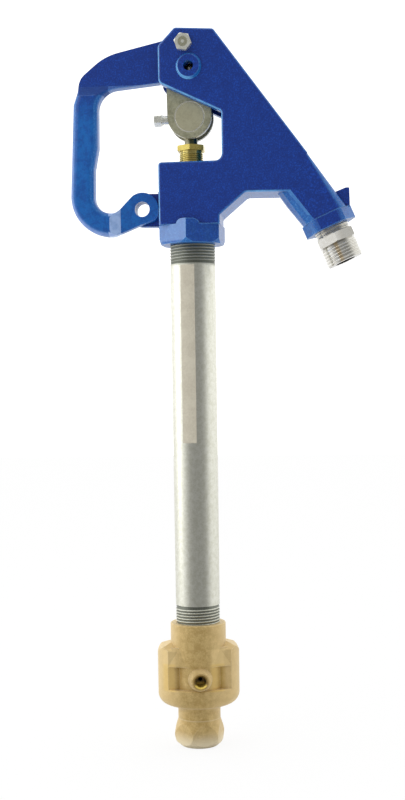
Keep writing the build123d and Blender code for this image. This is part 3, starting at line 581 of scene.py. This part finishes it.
def paintedBevelHighlights(tree):
    # 1 on small bevels that face between the flat front and the side, where a painted highlight goes
    facing = calc(tree, "ABSOLUTE", splitNormal(tree)["Y"])
    offSide, offFront = machined["bevel"]
    return times(tree, smoothStep(tree, facing, offSide), smoothStep(tree, facing, offFront))


turnedBrass = {
    "pale": linear(204, 188, 108), "dark": linear(176, 156, 80), "rough": (0.34, 0.2), "metal": 1.0,
    "groove": linear(198, 182, 112), "grooveShare": 0.85, "teeth": (8.65, 8.3),
}


def makeTurnedBrass(look):
    # The packing nut and the plunger: clean brass, a little duller in the nut's thread and in bores
    material, tree, shader, body = startMetal("turnedBrass", look)
    groove = smoothStep(tree, fromAxis(tree, origin, upward), look["teeth"])
    body = layOver(tree, body, look["groove"], groove, look["grooveShare"])
    tree.links.new(body, shader.inputs["Base Color"])
    return material


satinNickel = {
    "pale": linear(250, 250, 246), "dark": linear(226, 222, 212), "rough": (0.24, 0.14), "metal": 1.0,
    "groove": linear(112, 106, 94), "grooveShare": 0.85, "teeth": (13.2, 12.65), "pastHexagon": (11.0, 12.5),
    "upperShare": (0.3, 1.0), "streak": linear(206, 170, 92), "streakSpan": (-2.8, -1.6), "streakSoft": 1.6,
    "streakShare": 0.5, "dull": linear(176, 174, 164), "shadeSideEdges": (-1.0, 7.0), "shadeSideShare": 0.55,
}


def makeSatinNickel(look):
    # The nozzle: darker thread roots, most of all past the hexagon, where the nickel is also worn through to
    # brass in one streak down the front. Its right side is darker with painted shade.
    material, tree, shader, body = startMetal("satinNickel", look)
    past = smoothStep(tree, alongLine(tree, outletStart, outletDown), look["pastHexagon"])
    groove = times(tree, smoothStep(tree, fromAxis(tree, outletStart, outletDown), look["teeth"]),
                   spread(tree, past, look["upperShare"]))
    body = layOver(tree, body, look["groove"], groove, look["grooveShare"])
    across = alongLine(tree, outletStart, (-outletDown[2], 0, outletDown[0]))
    inFront = calc(tree, "LESS_THAN", splitPlace(tree)["Y"], 0.0)
    streak = times(tree, between(tree, across, look["streakSpan"], look["streakSoft"]), inFront, past)
    body = layOver(tree, body, look["streak"], streak, look["streakShare"])
    # Painted shade: the right side is darker
    dull = smoothStep(tree, across, look["shadeSideEdges"])
    body = layOver(tree, body, look["dull"], dull, look["shadeSideShare"])
    tree.links.new(body, shader.inputs["Base Color"])
    return material


brightZinc = {
    "pale": linear(238, 239, 230), "dark": linear(212, 213, 200), "rough": (0.34, 0.2), "metal": 0.75,
    "paintedShadeBlack": linear(14, 14, 13), "paintedShadeHeights": (485.0, 508.0), "paintedShadeSoft": 1.0,
    "paintedShadeLeft": (-8.0, -6.0), "stamp": linear(150, 148, 116), "stampIn": (0.9, 1.4), "stampOut": (3.9, 3.1),
    "stampShare": 0.75, "paleHighlight": linear(246, 246, 238),
}


def makeBrightZinc(look):
    # Bolt, nut, screws and spring pin: painted highlights on the bevels, a duller ring pressed into the pivot
    # bolt's head, and painted black shade on the pin between the cheeks
    material, tree, shader, body = startMetal("brightZinc", look)
    place = splitPlace(tree)
    # Painted shade: black on the pin between the cheeks
    inPaintedShade = times(tree, between(tree, place["Z"], look["paintedShadeHeights"], look["paintedShadeSoft"]),
                    smoothStep(tree, place["X"], look["paintedShadeLeft"]))
    body = blendColours(tree, inPaintedShade, body, look["paintedShadeBlack"])
    reach = fromAxis(tree, pivotPlace, acrossFront)
    ring = times(tree, smoothStep(tree, reach, look["stampIn"]), smoothStep(tree, reach, look["stampOut"]))
    body = layOver(tree, body, look["stamp"], ring, look["stampShare"])
    # Painted highlights on the bevels
    tree.links.new(blendColours(tree, paintedBevelHighlights(tree), body, look["paleHighlight"]), shader.inputs["Base Color"])
    return material


connectorSteel = {
    "pale": linear(206, 203, 174), "dark": linear(184, 180, 150), "rough": (0.48, 0.36), "metal": 0.8,
    "paleHighlight": linear(236, 234, 224),
}


def makeConnectorSteel(look):
    # The round connector, with painted highlights on its bevels
    material, tree, shader, body = startMetal("connectorSteel", look)
    tree.links.new(blendColours(tree, paintedBevelHighlights(tree), body, look["paleHighlight"]), shader.inputs["Base Color"])
    return material


rodSteel = {
    "pale": linear(150, 146, 122), "dark": linear(124, 121, 98), "rough": (0.42, 0.3), "metal": 1.0,
    "rodShade": linear(84, 90, 70), "rodShadeEdges": (-2.2, 0.2),
}


def makeRodSteel(look):
    # The rod, with painted shade on its right
    material, tree, shader, body = startMetal("rodSteel", look)
    inRodShade = smoothStep(tree, splitPlace(tree)["X"], look["rodShadeEdges"])
    tree.links.new(blendColours(tree, inRodShade, body, look["rodShade"]), shader.inputs["Base Color"])
    return material


olivePlate = {
    "pale": linear(178, 177, 150), "dark": linear(146, 145, 120), "paleHighlight": linear(226, 224, 212),
    "rough": (0.40, 0.54), "metal": 0.6, "blotches": {"Large": 7.0, "Small": 1.4}, "grain": 0.5, "wave": 4.0,
    "rim": (0.95, 0.6), "bump": 0.3, "depth": 0.04,
}


def makeOlivePlate(look):
    # Stamped plate with an olive chromate skin, cloudy and slightly grainy, with painted highlights on its
    # sheared edges
    material, tree, shader = newFinish("oliveChromate", {"Metallic": look["metal"]})
    patch = useGroup(tree, blotches, **look["blotches"])
    skin = useGroup(tree, castGrain, Grain=look["grain"], Wave=look["wave"])
    body = blendColours(tree, patch.outputs["Mask"], look["dark"], look["pale"])
    # Painted highlights on the sheared edges
    rim = smoothStep(tree, calc(tree, "ABSOLUTE", splitNormal(tree)["Y"]), look["rim"])
    tree.links.new(blendColours(tree, rim, body, look["paleHighlight"]), shader.inputs["Base Color"])
    tree.links.new(spread(tree, patch.outputs["Fine"], look["rough"]), shader.inputs["Roughness"])
    addBump(tree, shader, skin.outputs["Height"], look["bump"], look["depth"])
    return material


plainStuffs = {
    "creamPaper": {"first": linear(202, 196, 178), "second": linear(190, 183, 165), "rough": (0.6, 0.8),
                   "grain": 0.6},
    "graphiteYarn": {"first": linear(52, 52, 56), "second": linear(34, 34, 37), "rough": (0.55, 0.8),
                     "grain": 1.1},
    "blackRubber": {"first": linear(38, 38, 38), "second": linear(26, 26, 26), "rough": (0.5, 0.7),
                    "grain": 0.5},
}
matt = {"metal": 0.0, "blotches": {"Large": 10.0, "Small": 1.5}, "wave": 5.0, "bump": 0.25, "depth": 0.04}


def makePlainStuff(name):
    # Paper, packing and rubber: a matt body with a slight cloud and its own fine grain
    look = plainStuffs[name]
    material, tree, shader = newFinish(name, {"Metallic": matt["metal"]})
    patch = useGroup(tree, blotches, **matt["blotches"])
    skin = useGroup(tree, castGrain, Grain=look["grain"], Wave=matt["wave"])
    body = blendColours(tree, patch.outputs["Mask"], look["first"], look["second"])
    tree.links.new(body, shader.inputs["Base Color"])
    tree.links.new(spread(tree, patch.outputs["Fine"], look["rough"]), shader.inputs["Roughness"])
    addBump(tree, shader, skin.outputs["Height"], matt["bump"], matt["depth"])
    return material


finishes = {
    "blue_casting": makeHeadPaint(bluePaint, headPaint),
    "galvanised_steel": makeGalvanised(galvanised),
    "cast_brass": makeCastBrass(castBrass),
    "machined_brass": makeTurnedBrass(turnedBrass),
    "nickel_plate": makeSatinNickel(satinNickel),
    "zinc_steel": makeBrightZinc(brightZinc),
    "connector_steel": makeConnectorSteel(connectorSteel),
    "rod_steel": makeRodSteel(rodSteel),
    "olive_plate": makeOlivePlate(olivePlate),
    "cream_paper": makePlainStuff("creamPaper"),
    "graphite_packing": makePlainStuff("graphiteYarn"),
    "black_rubber": makePlainStuff("blackRubber"),
}
ownFinishes = {"lever": makeLeverPaint(bluePaint, leverPaint)}

for part in frame["record"]["subparts"]:
    finish = ownFinishes.get(part["node"], finishes[part["material_slot"]])
    for materialSlot in nodes[part["node"]].material_slots:
        materialSlot.material = finish
print("finishes made:", len(finishes) + len(ownFinishes))


# Threads

threadShape = {"rowsPerPitch": 12, "flat": 0.14, "flank": 0.66}


def axisFrame(along):
    # Two directions square to an axis, so that first, second and the axis are right-handed
    axis = np.array(along, dtype=float)
    axis /= np.linalg.norm(axis)
    first = np.array(acrossFront) - axis * axis[1]
    first /= np.linalg.norm(first)
    return first, np.cross(axis, first), axis


def ringFaces(rows, columns):
    # Quads between neighbouring rows and columns; both wrap round, so the skin is closed. With the plain
    # wall inside the thread, this winding turns the faces outwards.
    row, column = np.meshgrid(np.arange(rows), np.arange(columns), indexing="ij")
    nextRow = (row + 1) % rows
    nextColumn = (column + 1) % columns
    return np.stack([row * columns + column, row * columns + nextColumn,
                     nextRow * columns + nextColumn, nextRow * columns + column], axis=-1).reshape(-1, 4)


def threadSleeve(name, look, slotName, body="body"):
    # Radius = root + depth * tooth(height / pitch - turn): straight flanks, flat crest and root, and a
    # depth that fades to nothing over the run-out at each end. A plain wall inside it closes the skin.
    # Point = start + axis * height + radius * (first * cos + second * sin), for whole arrays at once.
    columns = look["columns"]
    rows = int(look["length"] / look["pitch"] * threadShape["rowsPerPitch"]) + 2
    turn, height = np.meshgrid(np.linspace(0, 1, columns, endpoint=False),
                               np.linspace(0, look["length"], rows))
    phase = (height / look["pitch"] - turn) % 1.0
    tooth = np.clip((1 - np.abs(2 * phase - 1) - threadShape["flat"]) / threadShape["flank"], 0, 1)
    low = np.clip(height / look["runOut"][0], 0, 1)
    high = np.clip((look["length"] - height) / look["runOut"][1], 0, 1)
    radius = look["root"] + (look["crest"] - look["root"]) * tooth * low * high
    radius = np.vstack([radius, np.full((2, columns), look["back"])])
    height = np.vstack([height, np.full((1, columns), look["length"]), np.zeros((1, columns))])
    angle = 2 * np.pi * np.vstack([turn, turn[:2]])[..., None]
    first, second, axis = axisFrame(look["along"])
    points = (np.array(look["start"]) + axis * height[..., None]
              + radius[..., None] * (first * np.cos(angle) + second * np.sin(angle)))
    mesh = bpy.data.meshes.new(name)
    mesh.from_pydata((points.reshape(-1, 3) * mm).tolist(), [], ringFaces(*radius.shape).tolist())
    mesh.polygons.foreach_set("use_smooth", [True] * len(mesh.polygons))
    mesh.materials.append(finishes[slotName])
    mesh.update()
    piece = bpy.data.objects.new(name, mesh)
    bpy.context.collection.objects.link(piece)
    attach(piece, body)


def downOutlet(distance):
    # A point that far down the outlet's axis from the spout's mouth
    return tuple(np.array(outletStart) + np.array(outletDown) * distance)


pipeThread = {"along": upward, "length": 14.0, "pitch": 2.209, "root": 15.95, "crest": 16.68, "back": 15.0,
              "columns": 120, "slot": "galvanised_steel"}
threads = {
    "pipeThreadTop": pipeThread | {"start": (0, 0, headLow - pipeThread["length"]), "runOut": (3.0, 0.2)},
    "pipeThreadLow": pipeThread | {"start": (0, 0, valveHigh), "runOut": (0.2, 3.0)},
    "nippleThreadUpper": {"start": downOutlet(-0.5), "along": outletDown, "length": 5.4, "pitch": 1.814,
                          "root": 12.1, "crest": 12.8, "back": 11.5, "runOut": (0.2, 0.6), "columns": 120,
                          "slot": "nickel_plate"},
    "hoseThread": {"start": downOutlet(12.8), "along": outletDown, "length": 13.0, "pitch": 2.209,
                   "root": 12.6, "crest": 13.5, "back": 11.8, "runOut": (1.4, 1.2), "columns": 120,
                   "slot": "nickel_plate"},
    "packingNutThread": {"start": (0, 0, headLow + 58.0), "along": upward, "length": 8.6, "pitch": 1.34,
                         "root": 8.15, "crest": 8.75, "back": 7.6, "runOut": (0.2, 1.6), "columns": 72,
                         "slot": "machined_brass"},
}
for name, look in threads.items():
    threadSleeve(name, look, look["slot"])
print("threads cut:", len(threads))


# Camera, floor and light

cameraLook = {
    "distance": 0.925, "height": 0.2734, "yaw": math.radians(6.5), "pitch": math.radians(6.0),
    "roll": math.radians(0.84), "lens": 55.35, "shift": (0.0074, 0.1454),
}


def placeCamera(look):
    # Looks along +Y turned by yaw towards -X, down by pitch, and leans by roll
    yaw, pitch, roll = look["yaw"], look["pitch"], look["roll"]
    place = (look["distance"] * math.sin(yaw), -look["distance"] * math.cos(yaw), look["height"])
    ahead = Vector((-math.sin(yaw) * math.cos(pitch), math.cos(yaw) * math.cos(pitch), -math.sin(pitch)))
    right = Vector((math.cos(yaw), math.sin(yaw), 0.0))
    up = right.cross(ahead)
    leantRight = right * math.cos(roll) - up * math.sin(roll)
    leantUp = right * math.sin(roll) + up * math.cos(roll)
    data = bpy.data.cameras.new("photoCamera")
    data.lens = look["lens"]
    data.shift_x, data.shift_y = look["shift"]
    camera = bpy.data.objects.new("photoCamera", data)
    aimed = Matrix((leantRight, leantUp, -ahead)).transposed().to_4x4()
    camera.matrix_world = Matrix.Translation(place) @ aimed
    bpy.context.collection.objects.link(camera)
    bpy.context.scene.camera = camera


lamps = {
    "keySoftbox": {"place": (-0.95, -1.15, 1.15), "aim": (0.0, 0.0, 0.35), "size": (0.8, 1.0), "power": 3.0},
    "sideSoftbox": {"place": (-1.30, -0.10, 0.42), "aim": (0.0, 0.0, 0.36), "size": (0.6, 1.0), "power": 2.7},
}


def placeLamp(name, look):
    data = bpy.data.lights.new(name, "AREA")
    data.shape = "RECTANGLE"
    data.size, data.size_y = look["size"]
    data.energy = look["power"]
    lamp = bpy.data.objects.new(name, data)
    lamp.location = look["place"]
    reach = Vector(look["aim"]) - lamp.location
    lamp.rotation_euler = reach.to_track_quat("-Z", "Y").to_euler()
    bpy.context.collection.objects.link(lamp)


white = (1, 1, 1, 1)
room = {"dim": 0.34, "bright": 1.35, "brightInFloor": 1.0, "dimTowards": math.radians(11),
        "dimEdges": (math.cos(math.radians(34)), math.cos(math.radians(78))),
        "floorDiffuse": linear(236, 236, 236), "floorGlow": 0.88, "floorHalf": 4.0}


def seenDirectly(tree, path):
    # 1 where the camera, or a ray through glass, looks at this surface
    return greater(tree, path.outputs["Is Camera Ray"], path.outputs["Is Transmission Ray"])


def dimPatch(tree, look, place):
    # 0 in a dim patch of the room behind the camera, centred a little to the right, and 1 all round it, with
    # a fade between the two dimEdges cosines
    behind = (math.sin(look["dimTowards"]), -math.cos(look["dimTowards"]), 0)
    towards = vectorMath(tree, "DOT_PRODUCT", place, behind)
    return smoothStep(tree, towards.outputs["Value"], look["dimEdges"])


def makeRoom(look):
    # White for the camera; the room's own brightness for light and reflections
    world = bpy.data.worlds.new("room")
    world.use_nodes = True
    tree = world.node_tree
    tree.nodes.clear()
    end = tree.nodes.new("ShaderNodeOutputWorld")
    background = addNode(tree, "ShaderNodeBackground", sockets={"Color": white})
    place = addNode(tree, "ShaderNodeTexCoord")
    level = spread(tree, dimPatch(tree, look, place.outputs["Generated"]), (look["dim"], look["bright"]))
    seen = seenDirectly(tree, addNode(tree, "ShaderNodeLightPath"))
    tree.links.new(greater(tree, level, seen), background.inputs["Strength"])
    tree.links.new(background.outputs[0], end.inputs["Surface"])
    bpy.context.scene.world = world


def mixShaders(tree, share, first, second):
    mix = tree.nodes.new("ShaderNodeMixShader")
    for socket, source in zip(mix.inputs, (share, first, second)):
        tree.links.new(source, socket)
    return mix.outputs[0]


def makeFloor(look):
    # A matt floor that looks almost white to the camera and keeps the object's shadow. To a mirror-like
    # surface it shows the room's brightness, so that the horizon leaves no line in a reflection.
    material = bpy.data.materials.new("paleFloor")
    material.use_nodes = True
    tree = material.node_tree
    tree.nodes.clear()
    end = tree.nodes.new("ShaderNodeOutputMaterial")
    diffuse = addNode(tree, "ShaderNodeBsdfDiffuse", sockets={"Color": look["floorDiffuse"]})
    glow = addNode(tree, "ShaderNodeEmission", sockets={"Color": white})
    path = addNode(tree, "ShaderNodeLightPath")
    glowing = times(tree, seenDirectly(tree, path), look["floorGlow"])
    direct = mixShaders(tree, glowing, diffuse.outputs[0], glow.outputs[0])
    place = addNode(tree, "ShaderNodeTexCoord")
    unit = vectorMath(tree, "NORMALIZE", place.outputs["Object"])
    mirrored = addNode(tree, "ShaderNodeEmission", sockets={"Color": white})
    level = spread(tree, dimPatch(tree, look, unit.outputs[0]), (look["dim"], look["brightInFloor"]))
    tree.links.new(level, mirrored.inputs["Strength"])
    surface = mixShaders(tree, path.outputs["Is Glossy Ray"], direct, mirrored.outputs[0])
    tree.links.new(surface, end.inputs["Surface"])
    half = look["floorHalf"]
    mesh = bpy.data.meshes.new("floor")
    corners = [(-half, -half, 0), (half, -half, 0), (half, half, 0), (-half, half, 0)]
    mesh.from_pydata(corners, [], [(0, 1, 2, 3)])
    mesh.materials.append(material)
    floor = bpy.data.objects.new("floor", mesh)
    bpy.context.collection.objects.link(floor)


placeCamera(cameraLook)
for name, look in lamps.items():
    placeLamp(name, look)
makeRoom(room)
makeFloor(room)
bpy.context.scene.view_settings.view_transform = "Standard"
print("camera, lamps and room placed")
